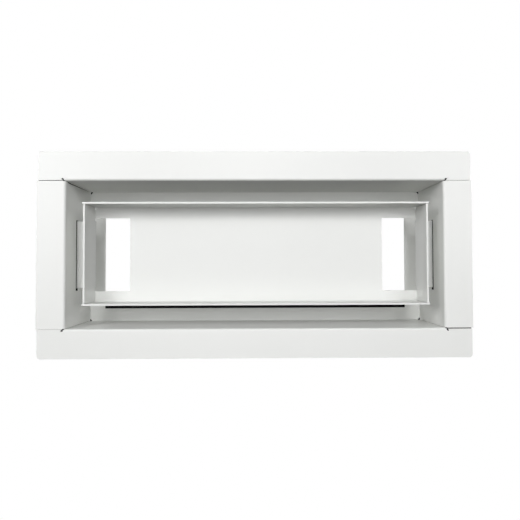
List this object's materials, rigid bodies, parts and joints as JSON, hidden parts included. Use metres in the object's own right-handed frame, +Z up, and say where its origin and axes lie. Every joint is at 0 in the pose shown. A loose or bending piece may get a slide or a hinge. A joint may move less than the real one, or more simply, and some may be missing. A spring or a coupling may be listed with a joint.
{
  "type": "recessed slot air diffuser",
  "caption": "Flanged sheet-steel mounting frame with a duct opening at the back and a loose lift-out cassette that leaves an air slot all round it.",
  "frame": {"origin": "centre of the opening, in the plane where the back of the flange lies on the wall", "axes": "+X along the width, +Y into the wall towards the duct (the visible face looks along -Y), +Z up"},
  "size_m": [0.436, 0.0618, 0.207],
  "materials": {
    "frame_coat": "satin white powder coat",
    "cassette_coat": "satin white powder coat"
  },
  "bodies": {
    "frame": {"frame": "frame_coat"},
    "cassette": {"cassette": "cassette_coat"}
  },
  "joints": [
    {"name": "cassette_slide", "type": "slide", "parent": "frame", "child": "cassette", "axis": [1, 0, 0], "range_m": [-0.0164, 0.0144]}
  ]
}
